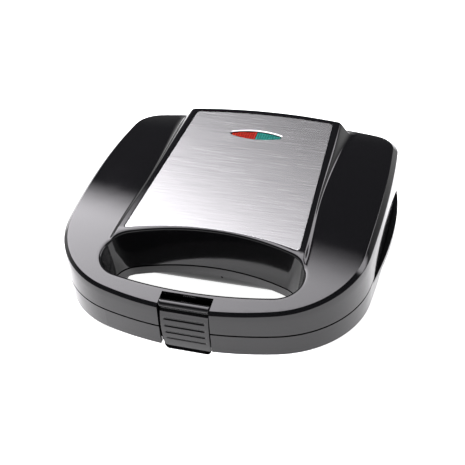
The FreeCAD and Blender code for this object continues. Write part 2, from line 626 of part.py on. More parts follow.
def make_plate(label, sign):
    """A die-cast ribbed plate: a flange, a shallow tray and grill ribs across its floor."""
    reverse = sign < 0
    face = sign * dim("frame_drop")
    half, front, rear, corner = [dim("plate_" + n) for n in ("half_width", "front", "rear", "corner")]
    body = new_body(label + "_body")
    outer = new_sketch(body, label + "_rim", "XY_Plane", f"dims.seam_z + {face}")
    draw_edges(outer, plan_rectangle(half, front, rear, corner))
    add_pad(body, outer, label + "_rim_pad", "dims.plate_thick", reverse)
    flange = dim("plate_flange")
    tray = new_sketch(body, label + "_tray", "XY_Plane", f"dims.seam_z + {face}")
    draw_edges(tray, plan_rectangle(half - flange + 2, front + flange - 2, rear - flange + 2, corner - 2))
    add_pad(body, tray, label + "_tray_pad", "dims.plate_depth + dims.plate_thick", reverse)
    dish = new_sketch(body, label + "_dish", "XY_Plane", f"dims.seam_z + {face}")
    draw_edges(dish, plan_rectangle(half - flange, front + flange, rear - flange, corner - 3))
    add_pocket(body, dish, label + "_dish_pocket", "dims.plate_depth", not reverse)
    doc.recompute()
    floor = above_seam(face + sign * dim("plate_depth"))
    rib_half, crest_half, crest = dim("rib_width") / 2, 0.8, floor - sign * dim("rib_height")
    count = int((2 * (half - flange) - 14) / dim("rib_pitch"))
    start = -count * dim("rib_pitch") / 2
    ribs = new_sketch(body, label + "_ribs", "XZ_Plane", f"{-at_depth(rear - flange - 3)}")
    root = floor + sign * 0.4
    for i in range(count + 1):
        x = start + i * dim("rib_pitch")
        corners = [V(x + across, level, 0) for across, level in
                   ((-rib_half, root), (rib_half, root), (crest_half, crest), (-crest_half, crest))]
        for a, b in zip(corners, corners[1:] + corners[:1]):
            ribs.addGeometry(Part.LineSegment(a, b), False)
        for j in range(4):
            ribs.addConstraint(Sketcher.Constraint("Coincident", 4 * i + j, 2, 4 * i + (j + 1) % 4, 1))
    add_pad(body, ribs, label + "_ribs_pad", "dims.plate_rear - dims.plate_front - 2 * dims.plate_flange - 6")
    back = plate_back()
    boss = 2 * dim("element_radius") + 1.45
    low = back - 1 if sign > 0 else -back - boss
    bosses = upright_rods(label + "_boss", plate_bosses(), low, boss + 1, 3.0)
    holes = upright_rods(label + "_boss_hole", plate_bosses(), low + (2.5 if sign > 0 else -0.5), boss - 1,
                         "dims.screw_radius")
    return keep(cut(label, fuse(label + "_solid", body, *bosses), *holes), label)


def bent_rod(name, points, radius, bend):
    """A round rod along straight runs with a tangent arc of the given radius at each corner."""
    points = [V(*p) for p in points]
    edges, start = [], points[0]
    for before, corner, after in zip(points, points[1:], points[2:]):
        to_before, to_after = (before - corner).normalize(), (after - corner).normalize()
        half = to_before.getAngle(to_after) / 2
        reach = bend / math.tan(half)
        first, last = corner + to_before * reach, corner + to_after * reach
        inward = (to_before + to_after).normalize()
        middle = corner + inward * (bend / math.sin(half) - bend)
        edges += [Part.LineSegment(start, first).toShape(), Part.Arc(first, middle, last).toShape()]
        start = last
    edges.append(Part.LineSegment(start, points[-1]).toShape())
    path = Part.Wire(edges)
    direction = (points[1] - points[0]).normalize()
    profile = Part.Wire([Part.makeCircle(radius, points[0], direction)])
    return shape_piece(name, path.makePipeShell([profile], True, False))


def make_element(label, sign):
    """The tubular heating element pressed against the back of a plate: a U with two cold ends."""
    z = above_seam(sign * (plate_back() + dim("element_radius") + 0.05))
    x, near, far = 62.0, at_depth(dim("plate_front") + 26), at_depth(dim("plate_rear") - 24)
    points = [(-12, far, z), (-x, far, z), (-x, near, z), (x, near, z), (x, far, z), (12, far, z)]
    return keep(bent_rod(label, points, dim("element_radius"), 20.0), label)


def make_insulators(label, sign):
    """The two ceramic beads on the cold ends of a heating element."""
    z = above_seam(sign * (plate_back() + dim("element_radius") + 0.05))
    y = at_depth(dim("plate_rear") - 24)
    group = doc.addObject("Part::Compound", label)
    group.Links = [rod(f"{label}_{side}", (min(side * 4.5, side * 11.95), y, z), (1, 0, 0), 7.45,
                       "dims.element_radius - 0.1") for side in (-1, 1)]
    return keep(group, label)


def make_shield(label, sign):
    """A sheet-steel tray that keeps the plate's heat off the casing, with a brim on the frame's back."""
    back = plate_back() + 2 * dim("element_radius") + 1.5
    brim = dim("frame_drop") + dim("frame_thick") + 0.05
    thick = dim("shield_thick")
    half, front, rear = dim("plate_half_width") + 3, dim("plate_front") - 3, dim("plate_rear") + 3
    corner = dim("plate_corner")
    outer_low = min(sign * brim, sign * (back + thick))
    inner_low = min(sign * (brim - 1), sign * back)
    outer = prism(label + "_outer", plan_rectangle(half, front, rear, corner), f"dims.seam_z + {outer_low}",
                  f"{back + thick - brim}")
    inner = prism(label + "_inner", plan_rectangle(half - thick, front + thick, rear - thick, corner - thick),
                  f"dims.seam_z + {inner_low}", f"{back - brim + 1}")
    edge = 2.5
    brim_low = min(sign * brim, sign * (brim + thick))
    flange = prism(label + "_brim", plan_rectangle(half + edge, front - edge, rear + edge, corner + edge),
                   f"dims.seam_z + {brim_low}", "dims.shield_thick")
    holes = upright_rods(label + "_hole", plate_bosses(), -40, 80, "dims.screw_radius + 0.2")
    return keep(cut(label, fuse(label + "_blank", outer, flange), inner, *holes), label)


def screw(name, spot, head_height, direction, length):
    """A pan-head screw at a plan point. head_height is how far the head's outer face is above the seam."""
    x, y = spot
    head_thick, slot = 1.6, 0.4
    start = above_seam(head_height)
    head = rod(name + "_head", (x, y, start), (0, 0, direction), head_thick, "dims.screw_head_radius")
    shank = rod(name + "_shank", (x, y, start + direction * head_thick), (0, 0, direction), length,
                "dims.screw_radius - 0.05")
    cross = [box(f"{name}_slot_{i}", (x - a, y - b, start - 0.8), (x + a, y + b, start + 0.8))
             for i, (a, b) in enumerate(((2.0, slot), (slot, 2.0)))]
    return cut(name, fuse(name + "_solid", head, shank), *cross)


def screw_set(label, spots, head_height, direction, length):
    """Identical screws that share one node."""
    group = doc.addObject("Part::Compound", label)
    group.Links = [screw(f"{label}_{i}", spot, head_height, direction, length)
                   for i, spot in enumerate(spots)]
    return keep(group, label)


def make_screws():
    head = 1.6
    face = dim("frame_drop") + 1.0
    shield = plate_back() + 2 * dim("element_radius") + 1.5
    outside = shield + dim("shield_thick") + head
    screw_set("upper_frame_screws", frame_posts(), face - head, 1, 8.0)
    screw_set("lower_frame_screws", frame_posts(), head - face, -1, 8.0)
    screw_set("upper_plate_screws", plate_bosses(), outside, -1, 7.0)
    screw_set("lower_plate_screws", plate_bosses(), -outside, 1, 7.0)


# ---------------------------------------------------------------- control and wiring parts

def make_thermostat():
    """A snap-disc thermostat on the back of the upper plate: a can, a cap and two tabs."""
    back, y = plate_back() + 0.05, at_depth(dim("control_depth"))
    can_top = back + dim("can_thick")
    can = rod("thermostat_can", (0, y, above_seam(back)), (0, 0, 1), "dims.can_thick", "dims.can_radius")
    cap = rod("thermostat_cap", (0, y, above_seam(can_top)), (0, 0, 1), "dims.cap_thick", "dims.cap_radius")
    tab_half, tab_bottom, tab_top = 2.4, above_seam(can_top + 0.6), above_seam(can_top + 1.4)
    tabs = [box(f"thermostat_tab_{x}", (x - tab_half, y - 16, tab_bottom), (x + tab_half, y + 4, tab_top))
            for x in (-6, 6)]
    return keep(fuse("thermostat", can, cap, *tabs), "thermostat")


def make_thermal_fuse():
    """A thermal fuse in its woven sleeve, clipped to the back of the lower plate."""
    y, z = at_depth(dim("control_depth")), above_seam(-plate_back() - 2.6)
    pieces = [rod(f"fuse_{part}", (-dim(part + "_half"), y, z), (1, 0, 0), f"2 * dims.{part}_half",
                  f"dims.{part}_radius") for part in ("sleeve", "lead")]
    return keep(fuse("thermal_fuse", *pieces), "thermal_fuse")


def make_terminal_block():
    """A three-way screw terminal block on the floor of the lower casing, beside the cord inlet."""
    half, front, rear = dim("terminal_half"), at_depth(dim("terminal_front")), at_depth(dim("terminal_rear"))
    x, floor = dim("inlet_x") + 15, above_seam(-dim("tub_bottom") + dim("wall"))
    block = box("terminal_base", (x - half, front, floor), (x + half, rear, floor + dim("terminal_height")))
    pitch = 2 * half / 3
    wells = []
    for i in (-1, 0, 1):
        spot = x + pitch * i
        wells.append(rod(f"terminal_well_{i}", (spot, (front + rear) / 2, floor + 5), (0, 0, 1), 10, 2.6))
        wells.append(rod(f"terminal_bore_{i}", (spot, front - 5, floor + 4.2), (0, 1, 0), 30, 1.6))
    return keep(cut("terminal_block", block, *wells), "terminal_block")


def make_inlet_bush():
    """The bush that lines the cord inlet, with a flange outside the casing."""
    x, face, z = dim("inlet_x"), at_depth(dim("inlet_face")), above_seam(dim("inlet_height"))
    flange = rod("bush_flange", (x, face, z), (0, 1, 0), 2.0, "dims.inlet_radius + 2.5")
    barrel = rod("bush_barrel", (x, face - 9.5, z), (0, 1, 0), 10, "dims.inlet_radius - 0.05")
    bore = rod("bush_bore", (x, face - 20, z), (0, 1, 0), 30, "dims.inlet_bore")
    return keep(cut("cord_inlet_bush", fuse("bush_solid", flange, barrel), bore), "cord_inlet_bush")


def make_lamps():
    """Two neon lamps in a cradle under the lenses."""
    y, low, half = at_depth(dim("lens_depth")), dim("holder_height"), dim("holder_half")
    floor, axis = above_seam(low + 1), above_seam(dim("lamp_height"))
    base = box("holder_base", (-half, y - 8, above_seam(low)), (half, y + 8, above_seam(low + 1.6)))
    saddles = [box(f"holder_saddle_{i}", (x, y - 5, floor), (x + 2, y + 5, axis))
               for i, x in enumerate((-19, -10, 8, 17))]
    wall = box("holder_divider", (-0.8, y - 7, floor), (0.8, y + 7, above_seam(low + 12)))
    grooves = rod("holder_groove", (-30, y, axis), (1, 0, 0), 60, "dims.lamp_radius + 0.1")
    ends = cut("holder_saddles", fuse("holder_saddle_row", *saddles), grooves)
    keep(fuse("lamp_holder", base, ends, wall), "lamp_holder")
    for label, x in (("red_neon_lamp", -20.5), ("green_neon_lamp", 6.5)):
        glass = rod(label + "_glass", (x, y, axis), (1, 0, 0), "dims.lamp_length", "dims.lamp_radius")
        keep(rounded(label, glass, [1, 3], 1.6), label)


# ---------------------------------------------------------------- panel and lenses

def make_panel():
    sheet_piece = along_ridge("panel_sheet", panel_outline(0.0), dim("panel_thick") - dim("panel_sink"),
                              dim("panel_sink"))
    hole = prism("panel_hole", lens_outline(0.0), "dims.seam_z + 20", "40")
    return keep(cut("decor_panel", sheet_piece, hole), "decor_panel")


def make_lenses():
    for label, side in (("red_lens", -1), ("green_lens", 1)):
        top = -dim("panel_sink") - 0.05
        blank = along_ridge(label + "_blank", lens_outline(1.0), top, dim("panel_sink") + dim("lens_thick"))
        low, high = sorted((side * 0.08, side * 40))
        half = box(label + "_half", (low, at_depth(AHEAD), above_seam(0)),
                   (high, at_depth(BEHIND), above_seam(ABOVE)))
        keep(common(label, blank, half), label)


# ---------------------------------------------------------------- hinge, latch and feet

def make_hinge_pins():
    for hand, side in (("left", -1), ("right", 1)):
        low, high = sorted((side * dim("knuckle_from"), side * dim("knuckle_to")))
        start = (low + 0.5, at_depth(dim("hinge_depth")), dim("seam_z"))
        pin = rod(f"hinge_pin_{hand}", start, (1, 0, 0), high - low - 1.0, "dims.pin_radius")
        keep(pin, f"hinge_pin_{hand}")


def make_latch():
    """The front clip: a capped lever on a cross pin, a ribbed grip and a hooked lower edge."""
    corners = [(13.4, 12.4), (13.2, 14.4), (6.2, 19.6), (5.0, 20.2), (3.9, 19.8), (3.1, 18.6), (3.3, 16.6),
               (4.8, 14.9), (3.2, 13.4), (1.4, -15.0), (1.4, -21.0), (2.4, dim("latch_bottom")),
               (4.0, dim("latch_bottom")), (4.4, -16.9), (3.9, -15.6), (5.2, 8.0), (8.0, 10.0), (12.5, 10.4)]
    profile = [(at_depth(d), above_seam(z)) for d, z in corners]
    lever = side_prism("latch_lever", profile, "dims.latch_half_width")
    front = new_body("latch_front")
    sketch = new_sketch(front, "latch_front_outline", "XZ_Plane", f"{-at_depth(30)}")
    half = dim("latch_half_width")
    draw_edges(sketch, round_rectangle((-half, above_seam(dim("latch_bottom"))), (half, above_seam(26)), 5.0))
    add_pad(front, sketch, "latch_front_pad", "60")
    blank = common("latch_blank", lever, front)
    bore = rod("latch_bore", (-half, *latch_pivot()), (1, 0, 0), 2 * half, "dims.latch_pin_radius + 0.07")
    room_half = 6.6
    room = box("latch_spring_room", (-room_half, at_depth(6.4), above_seam(7)),
               (room_half, at_depth(20), above_seam(17.2)))
    grooves = []
    for i in range(5):
        height = dim("latch_groove_top") - i * dim("latch_groove_pitch")
        depth = dim("latch_face_depth") + height * math.tan(math.radians(dim("latch_face_lean")))
        grooves.append(rod(f"latch_groove_{i}", (-half + 2.5, at_depth(depth), above_seam(height)), (1, 0, 0),
                           2 * half - 5, 0.9))
    return keep(cut("latch_clip", blank, bore, room, *grooves), "latch_clip")


def make_latch_pin():
    reach = dim("latch_notch_half") + 1.7
    pin = rod("latch_pin", (-reach, *latch_pivot()), (1, 0, 0), 2 * reach, "dims.latch_pin_radius")
    return keep(pin, "latch_pin")


def make_latch_spring():
    """The torsion spring around the latch pin."""
    radius, wire, pitch, turns = 2.35, 0.35, 1.3, 7
    helix = Part.makeHelix(pitch, pitch * turns, radius)
    profile = Part.Wire([Part.makeCircle(wire, V(radius, 0, 0), V(0, 1, 0))])
    coil = Part.Wire(helix.Edges).makePipeShell([profile], True, True)
    spring = shape_piece("latch_spring", coil)
    along_x = FreeCAD.Rotation(UP, V(1, 0, 0))
    spring.Placement = FreeCAD.Placement(V(-pitch * turns / 2, *latch_pivot()), along_x)
    return keep(spring, "latch_spring")


def make_feet():
    """Four moulded rubber feet, each a pad with a stem through the casing's floor."""
    for label, x, y in foot_spots():
        body = new_body(label + "_body")
        sketch = new_sketch(body, label + "_half", "XZ_Plane")
        pad_radius, stem = dim("foot_radius"), dim("foot_stem_radius")
        floor = dim("seam_z") - dim("tub_bottom")
        outline = [(0, 0), (pad_radius - 1.2, 0), (pad_radius, 1.2), (pad_radius - 0.6, floor), (stem, floor),
                   (stem, floor + dim("wall") + 1.4), (0, floor + dim("wall") + 1.4)]
        draw_polygon(sketch, outline)
        turn = body.newObject("PartDesign::Revolution", label + "_turn")
        turn.Profile = sketch
        turn.ReferenceAxis = (sketch, ["V_Axis"])
        turn.Angle = 360
        body.Placement.Base = V(x, y, 0)
        keep(body, label)


# ---------------------------------------------------------------- assembly

def build():
    make_upper_casing()
    make_lower_casing()
    for half, sign in (("upper", 1), ("lower", -1)):
        make_frame(half + "_inner_frame", sign)
        make_plate(half + "_heating_plate", sign)
        make_element(half + "_heating_element", sign)
        make_insulators(half + "_element_insulators", sign)
        make_shield(half + "_heat_shield", sign)
    make_screws()
    make_thermostat()
    make_thermal_fuse()
    make_terminal_block()
    make_inlet_bush()
    make_lamps()
    make_panel()
    make_lenses()
    make_hinge_pins()
    make_latch()
    make_latch_pin()
    make_latch_spring()
    make_feet()
    doc.recompute()


def check():
    """Stops on any object that failed and on any sub-part that isn't a valid solid."""
    for thing in doc.Objects:
        if {"Invalid", "Error"} & set(thing.State):
            raise RuntimeError(f"{thing.Name} failed: {thing.State}")
    for piece in finished:
        if piece.Shape.isNull() or not piece.Shape.isValid() or not piece.Shape.Solids:
            raise RuntimeError(f"{piece.Label} is not a valid solid")


build()
check()
os.makedirs("parts", exist_ok=True)
for piece in finished:
    shape = piece.Shape
    shape.exportStep(f"parts/{piece.Label}.step")
    print(f"{piece.Label:24s} {len(shape.Solids)} solids {shape.Volume / 1000:8.2f} cm3")
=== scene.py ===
"""The looks of a two-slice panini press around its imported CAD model: pieces, materials, light and camera.

Everything is in metres in the row frame: +Z up, the handle at -Y, the hinge at +Y.
"""
import json
import math

import bmesh
import bpy
import numpy as np
from mathutils import Euler, Matrix, Vector
from mathutils.geometry import delaunay_2d_cdt


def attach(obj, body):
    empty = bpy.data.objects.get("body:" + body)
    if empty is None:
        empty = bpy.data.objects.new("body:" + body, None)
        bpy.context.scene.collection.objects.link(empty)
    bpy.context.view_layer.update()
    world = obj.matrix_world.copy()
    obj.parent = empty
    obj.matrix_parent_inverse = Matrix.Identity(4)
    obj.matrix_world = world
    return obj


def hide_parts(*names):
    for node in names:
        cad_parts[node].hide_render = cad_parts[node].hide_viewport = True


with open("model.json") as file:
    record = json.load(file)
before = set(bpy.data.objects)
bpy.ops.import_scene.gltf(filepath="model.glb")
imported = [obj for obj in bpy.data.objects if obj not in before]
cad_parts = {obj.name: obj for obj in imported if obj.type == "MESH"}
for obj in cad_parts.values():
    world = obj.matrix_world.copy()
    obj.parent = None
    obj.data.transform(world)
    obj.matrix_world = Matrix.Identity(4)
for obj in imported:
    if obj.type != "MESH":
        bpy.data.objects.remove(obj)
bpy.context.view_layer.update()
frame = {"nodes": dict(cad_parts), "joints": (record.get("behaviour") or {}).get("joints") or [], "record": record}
NODES = frame["nodes"]
SLOTS = {part["node"]: part["material_slot"] for part in frame["record"]["subparts"]}


# ---------------------------------------------------------------- materials

def start_material(name):
    """A new node material and its tree, with only the output and a Principled shader."""
    material = bpy.data.materials.new(name)
    material.use_nodes = True
    tree = material.node_tree
    tree.nodes.clear()
    output = tree.nodes.new("ShaderNodeOutputMaterial")
    shader = tree.nodes.new("ShaderNodeBsdfPrincipled")
    tree.links.new(shader.outputs["BSDF"], output.inputs["Surface"])
    return material, tree, shader


def add(tree, kind, inputs=(), **settings):
    """A node with its settings, and its inputs either linked to a socket or set to a value."""
    made = tree.nodes.new(kind)
    for key, value in settings.items():
        setattr(made, key, value)
    for key, value in dict(inputs).items():
        if isinstance(value, bpy.types.NodeSocket):
            tree.links.new(value, made.inputs[key])
        else:
            made.inputs[key].default_value = value
    return made


def place(tree, stretch=(1, 1, 1)):
    """Object coordinates, stretched along the axes, as a vector socket."""
    inputs = {"Vector": add(tree, "ShaderNodeTexCoord").outputs["Object"], "Scale": stretch}
    return add(tree, "ShaderNodeMapping", inputs).outputs["Vector"]


def calculate(tree, operation, *values):
    """The result of a math node on values or value sockets."""
    return add(tree, "ShaderNodeMath", enumerate(values), operation=operation).outputs["Value"]


def noise(tree, vector, scale, detail=4.0, rough=0.55):
    """The grey value of a noise texture."""
    inputs = {"Vector": vector, "Scale": scale, "Detail": detail, "Roughness": rough}
    return add(tree, "ShaderNodeTexNoise", inputs).outputs["Fac"]


def spread(tree, value, low, high, start=0.3, end=0.7):
    """A grey value from start to end mapped onto low to high."""
    inputs = {"Value": value, "From Min": start, "From Max": end, "To Min": low, "To Max": high}
    return add(tree, "ShaderNodeMapRange", inputs).outputs["Result"]


def mix(tree, value, first, second):
    """A colour between two colours."""
    made = add(tree, "ShaderNodeMix", data_type="RGBA")
    tree.links.new(value, made.inputs["Factor"])
    for socket, colour in ((made.inputs[6], first), (made.inputs[7], second)):
        if isinstance(colour, bpy.types.NodeSocket):
            tree.links.new(colour, socket)
        else:
            socket.default_value = (*colour, 1.0)
    return made.outputs[2]


def bump(tree, height, distance, strength=1.0, normal=None):
    """A normal from a height in metres times distance."""
    inputs = {"Height": height, "Distance": distance, "Strength": strength}
    if normal is not None:
        inputs["Normal"] = normal
    return add(tree, "ShaderNodeBump", inputs).outputs["Normal"]


def wire(tree, shader, **sockets):
    """Links or sets the shader's inputs. An underscore in a name stands for a space."""
    for key, value in sockets.items():
        socket = shader.inputs[key.replace("_", " ")]
        if isinstance(value, bpy.types.NodeSocket):
            tree.links.new(value, socket)
        else:
            socket.default_value = value


def grained(name, dark, light, roughness, grain, relief, metal=0.0, wear=None, **extra):
    """A moulded or cast finish: two close colours in a fine grain, uneven roughness and shallow relief."""
    material, tree, shader = start_material(name)
    here = place(tree)
    coarse = noise(tree, here, grain / 12)
    fine = noise(tree, here, grain)
    colour = mix(tree, spread(tree, fine, 0, 1), dark, light)
    if wear:
        colour = mix(tree, spread(tree, coarse, 0, 1, 0.55, 0.75), colour, wear)
    wire(tree, shader, Base_Color=colour, Metallic=metal,
         Roughness=spread(tree, coarse, *roughness), Normal=bump(tree, fine, relief), **extra)
    return material


def gloss_black():
    """Polished black moulding: a clear surface with faint waviness and a trace of fine dust in the gloss."""
    material, tree, shader = start_material("gloss_black")
    here = place(tree)
    wave = noise(tree, here, 38, 2.0, 0.4)
    dust = noise(tree, here, 2600, 2.0, 0.6)
    colour = mix(tree, spread(tree, dust, 0, 1, 0.6, 0.8), (0.0045, 0.0045, 0.0052), (0.012, 0.012, 0.013))
    wire(tree, shader, Base_Color=colour, Roughness=spread(tree, wave, 0.055, 0.095), IOR=1.5,
         Normal=bump(tree, wave, 0.00006))
    return material


def brushed_panel():
    """Stainless sheet brushed along X: long strands in colour, roughness and relief."""
    material, tree, shader = start_material("brushed_panel")
    hair = noise(tree, place(tree, (60, 5200, 60)), 1.0, 3.0, 0.65)
    strand = noise(tree, place(tree, (30, 1300, 30)), 1.0, 4.0, 0.7)
    cloud = noise(tree, place(tree, (26, 46, 26)), 1.0)
    both = calculate(tree, "MULTIPLY", hair, strand)
    colour = mix(tree, spread(tree, both, 0, 1, 0.12, 0.4), (0.3, 0.3, 0.302), (0.352, 0.352, 0.35))
    grain = add(tree, "ShaderNodeTangent", direction_type="UV_MAP").outputs["Tangent"]
    wire(tree, shader, Base_Color=colour, Metallic=1.0, Anisotropic=0.8, Tangent=grain,
         Roughness=spread(tree, strand, 0.24, 0.28),
         Normal=bump(tree, strand, 0.000003, 0.3, bump(tree, cloud, 0.0001, 0.03)))
    return material


LENS_PITCH = 0.002                   # from one small pyramid on the lens to the next, in metres


def lens_plastic(name, valley_shade, tip):
    """Coloured clear plastic with painted shade that darkens the valleys between the lens's small pyramids,
    lighter at their tips.
    """
    material, tree, shader = start_material(name)
    here = place(tree)
    split = add(tree, "ShaderNodeSeparateXYZ", {"Vector": here})
    rows = [calculate(tree, "PINGPONG", split.outputs[axis], LENS_PITCH / 2) for axis in ("X", "Y")]
    # rise is 0 in the valleys and 1 at the tips: the painted valley shade fades into the lens colour towards each
    # tip
    rise = spread(tree, calculate(tree, "MINIMUM", *rows), 0, 1, LENS_PITCH * 0.12, LENS_PITCH * 0.36)
    haze = noise(tree, here, 900)
    wire(tree, shader, Base_Color=mix(tree, rise, valley_shade, tip), Roughness=spread(tree, haze, 0.16, 0.26),
         Normal=bump(tree, haze, 0.00002))
    return material


MATERIALS = {
    "casing_plastic": gloss_black(),
    "frame_plastic": grained("matt_black", (0.016, 0.016, 0.016), (0.03, 0.03, 0.03), (0.42, 0.55), 2200,
                             0.00004),
    "nonstick_casting": grained("nonstick", (0.02, 0.02, 0.021), (0.045, 0.045, 0.047), (0.28, 0.4), 1800,
                                0.00005, metal=0.25, wear=(0.03, 0.03, 0.031)),
    "element_steel": grained("heated_tube", (0.16, 0.14, 0.13), (0.34, 0.3, 0.27), (0.3, 0.5), 900, 0.00003,
                             metal=1.0, wear=(0.2, 0.13, 0.1)),
    "ceramic": grained("steatite", (0.74, 0.72, 0.66), (0.84, 0.82, 0.76), (0.6, 0.75), 1600, 0.00005),
    "shield_steel": grained("aluminised", (0.5, 0.51, 0.52), (0.66, 0.67, 0.68), (0.3, 0.5), 320, 0.00004,
                            metal=1.0),
    "zinc_steel": grained("bright_zinc", (0.6, 0.61, 0.64), (0.72, 0.73, 0.74), (0.18, 0.3), 700, 0.00002,
                          metal=1.0),
    "spring_steel": grained("spring_wire", (0.36, 0.36, 0.37), (0.5, 0.5, 0.5), (0.24, 0.36), 900, 0.00002,
                            metal=1.0),
    "thermostat_metal": grained("pressed_can", (0.52, 0.52, 0.52), (0.64, 0.64, 0.64), (0.28, 0.4), 600,
                                0.00002, metal=1.0),
    "fuse_sleeve": grained("glass_sleeve", (0.66, 0.64, 0.56), (0.82, 0.8, 0.72), (0.75, 0.9), 1500, 0.0001),
    "white_nylon": grained("nylon", (0.78, 0.78, 0.74), (0.86, 0.86, 0.83), (0.4, 0.5), 1200, 0.00003),
    "bush_plastic": grained("black_nylon", (0.014, 0.014, 0.014), (0.026, 0.026, 0.026), (0.4, 0.52), 2000,
                            0.00004),
    "foot_rubber": grained("rubber", (0.018, 0.018, 0.018), (0.032, 0.032, 0.032), (0.62, 0.78), 2400,
                           0.00005),
    "lamp_glass": grained("lamp_glass", (0.9, 0.8, 0.7), (0.95, 0.86, 0.76), (0.03, 0.08), 500, 0.00001,
                          Transmission_Weight=0.9, IOR=1.5),
    "panel_steel": brushed_panel(),
    # the first colour of each lens is painted shade for the valleys between its pyramids, the second its colour at
    # their tips
    "red_lens_plastic": lens_plastic("red_lens", (0.07, 0.003, 0.002), (0.66, 0.03, 0.012)),
    "green_lens_plastic": lens_plastic("green_lens", (0.004, 0.05, 0.042), (0.035, 0.36, 0.3)),
}


for name, piece in NODES.items():
    piece.data.materials.clear()
    piece.data.materials.append(MATERIALS[SLOTS[name]])


# ---------------------------------------------------------------- plan outlines

MM = 0.001
SEAM = 42 * MM                       # height of the seam between the casings
FRONT = -120.355 * MM                # front of the seam outline
HINGE_Y = next(joint for joint in frame["joints"] if joint["name"] == "lid_hinge")["pos_m"][1]
# Arcs are pairs of a radius in millimetres and a turn in degrees.
CASING_ARCS = ((233, 15.2), (70.5, 70.8), (840, 8.6), (26, 72))
LOOP_FRONT = FRONT + 16.9 * MM
LOOP_ARCS = ((291, 10.6), (18.8, 147))
LOOP_FLARE = (1.052, 1.03)           # how much wider and deeper the loop's opening is at the lid's top
LENS_FRONT = FRONT + 181 * MM
LENS_ARCS = ((57.4, 19.9), (2.2, 140.2))
SPACING = 1.6 * MM                   # between the points of an outline


def ring(front, arcs, offset=0.0, spacing=SPACING):
    """Points of a closed outline, mirror-symmetric in X, of arcs that turn left from its front middle.

    arcs holds every arc up to the last, whose radius closes the outline. offset moves it outwards. Rings of
    one outline have the same number of points.
    """
    x, y, heading = 0.0, front, 0.0
    half = []

    def arc(centre_x, centre_y, radius, start, end):
        """Adds the points of one arc, without its end."""
        count = max(2, round(radius * (end - start) / spacing))
        for i in range(count):
            angle = start + (end - start) * i / count
            reach = radius + offset
            half.append((centre_x + reach * math.sin(angle), centre_y - reach * math.cos(angle)))

    for radius_mm, turn in arcs:
        radius, end = radius_mm * MM, heading + math.radians(turn)
        centre = (x - radius * math.sin(heading), y + radius * math.cos(heading))
        arc(*centre, radius, heading, end)
        x, y = centre[0] + radius * math.sin(end), centre[1] - radius * math.cos(end)
        heading = end
    closing = x / math.sin(heading)
    arc(0.0, y + closing * math.cos(heading), closing, heading, math.pi)
    rear = (0.0, y + closing * math.cos(heading) + closing + offset)
    return half + [rear] + [(-px, py) for px, py in reversed(half[1:])]


def casing_ring(offset):
    """The seam outline of both casings."""
    return ring(FRONT, CASING_ARCS, offset)


def loop_ring(offset):
    """The handle's opening at the seam."""
    return ring(LOOP_FRONT, LOOP_ARCS, offset, 1.2 * MM)


def loop_top_ring(offset):
    """The handle's opening at the lid's top, where its ends and its rear flare out."""
    wider, deeper = LOOP_FLARE
    return [(x * wider, LOOP_FRONT + (y - LOOP_FRONT) * deeper) for x, y in loop_ring(offset)]


def lens_ring(offset):
    """A slim oval across the lid: two shallow arcs joined by small ones at its tips."""
    return ring(LENS_FRONT, LENS_ARCS, offset, 0.8 * MM)


# ---------------------------------------------------------------- heights of the lid, all in millimetres

# The crowned top: its highest place and the radius of its arc.
CROWN_HEIGHT, CROWN_DEPTH, CROWN_RADIUS = 34.8, 160, 760
# The ramp's flat top: its height at a depth and its slope, its half-width at a depth and how that closes in,
# and its bowed rear edge.
RIDGE_HEIGHT, RIDGE_DEPTH, RIDGE_RISE = 31.4, 70, math.tan(math.radians(4.61))
RIDGE_HALF, RIDGE_HALF_DEPTH, RIDGE_TAPER = 67.6, 72, 0.0475
RIDGE_REAR, RIDGE_REAR_BOW, RIDGE_REAR_HALF = 219.2, 5.0, 61
# The slopes round it: the plan width at its sides, with what that gains to the rear and to the front, the
# plan depth behind it, and the depths between which it comes out of the crowned top.
SIDE_FLANK, SIDE_FLANK_REAR, SIDE_FLANK_FRONT = 2.6, 10.4, 1.4
REAR_FLANK = 6.0
RAMP_RISE = (44, 62)


def depth_mm(y):
    """Plan depth behind the front of the seam outline, in millimetres."""
    return (y - FRONT) / MM


def ease(value, low, high):
    """0 below low, 1 above high and a smooth step between."""
    share = min(1.0, max(0.0, (value - low) / (high - low)))
    return share * share * (3 - 2 * share)


def flank_profile(share, crest=0.3, foot=0.5):
    """Share of the drop down a flank: a rounded crest, a straight slope and a longer concave foot."""
    share = min(1.0, max(0.0, share))
    total = 1 - crest / 2 - (1 - foot) / 2
    if share < crest:
        fall = share * share / (2 * crest)
    elif share < foot:
        fall = share - crest / 2
    else:
        rest = 1 - share
        fall = total - rest * rest / (2 * (1 - foot))
    return fall / total


def crown(depth):
    """Height of the crowned top above the seam."""
    return CROWN_HEIGHT - CROWN_RADIUS + math.sqrt(CROWN_RADIUS ** 2 - (depth - CROWN_DEPTH) ** 2)


def ridge(depth):
    """Height above the seam of the ramp that carries the panel."""
    return RIDGE_HEIGHT + RIDGE_RISE * (depth - RIDGE_DEPTH)


def ridge_top_half(depth):
    """Half-width of the ramp's flat top."""
    return RIDGE_HALF - RIDGE_TAPER * (depth - RIDGE_HALF_DEPTH)


def ridge_foot_half(depth):
    """Half-width of the ramp where its flank meets the crowned top."""
    rear, front = ease(depth, 110, 225), 1 - ease(depth, 70, 120)
    return ridge_top_half(depth) + SIDE_FLANK + SIDE_FLANK_REAR * rear + SIDE_FLANK_FRONT * front


def ridge_rear_edge(x):
    """Plan depth of the bowed rear edge of the ramp's top."""
    return RIDGE_REAR - RIDGE_REAR_BOW * (x / RIDGE_REAR_HALF) ** 2


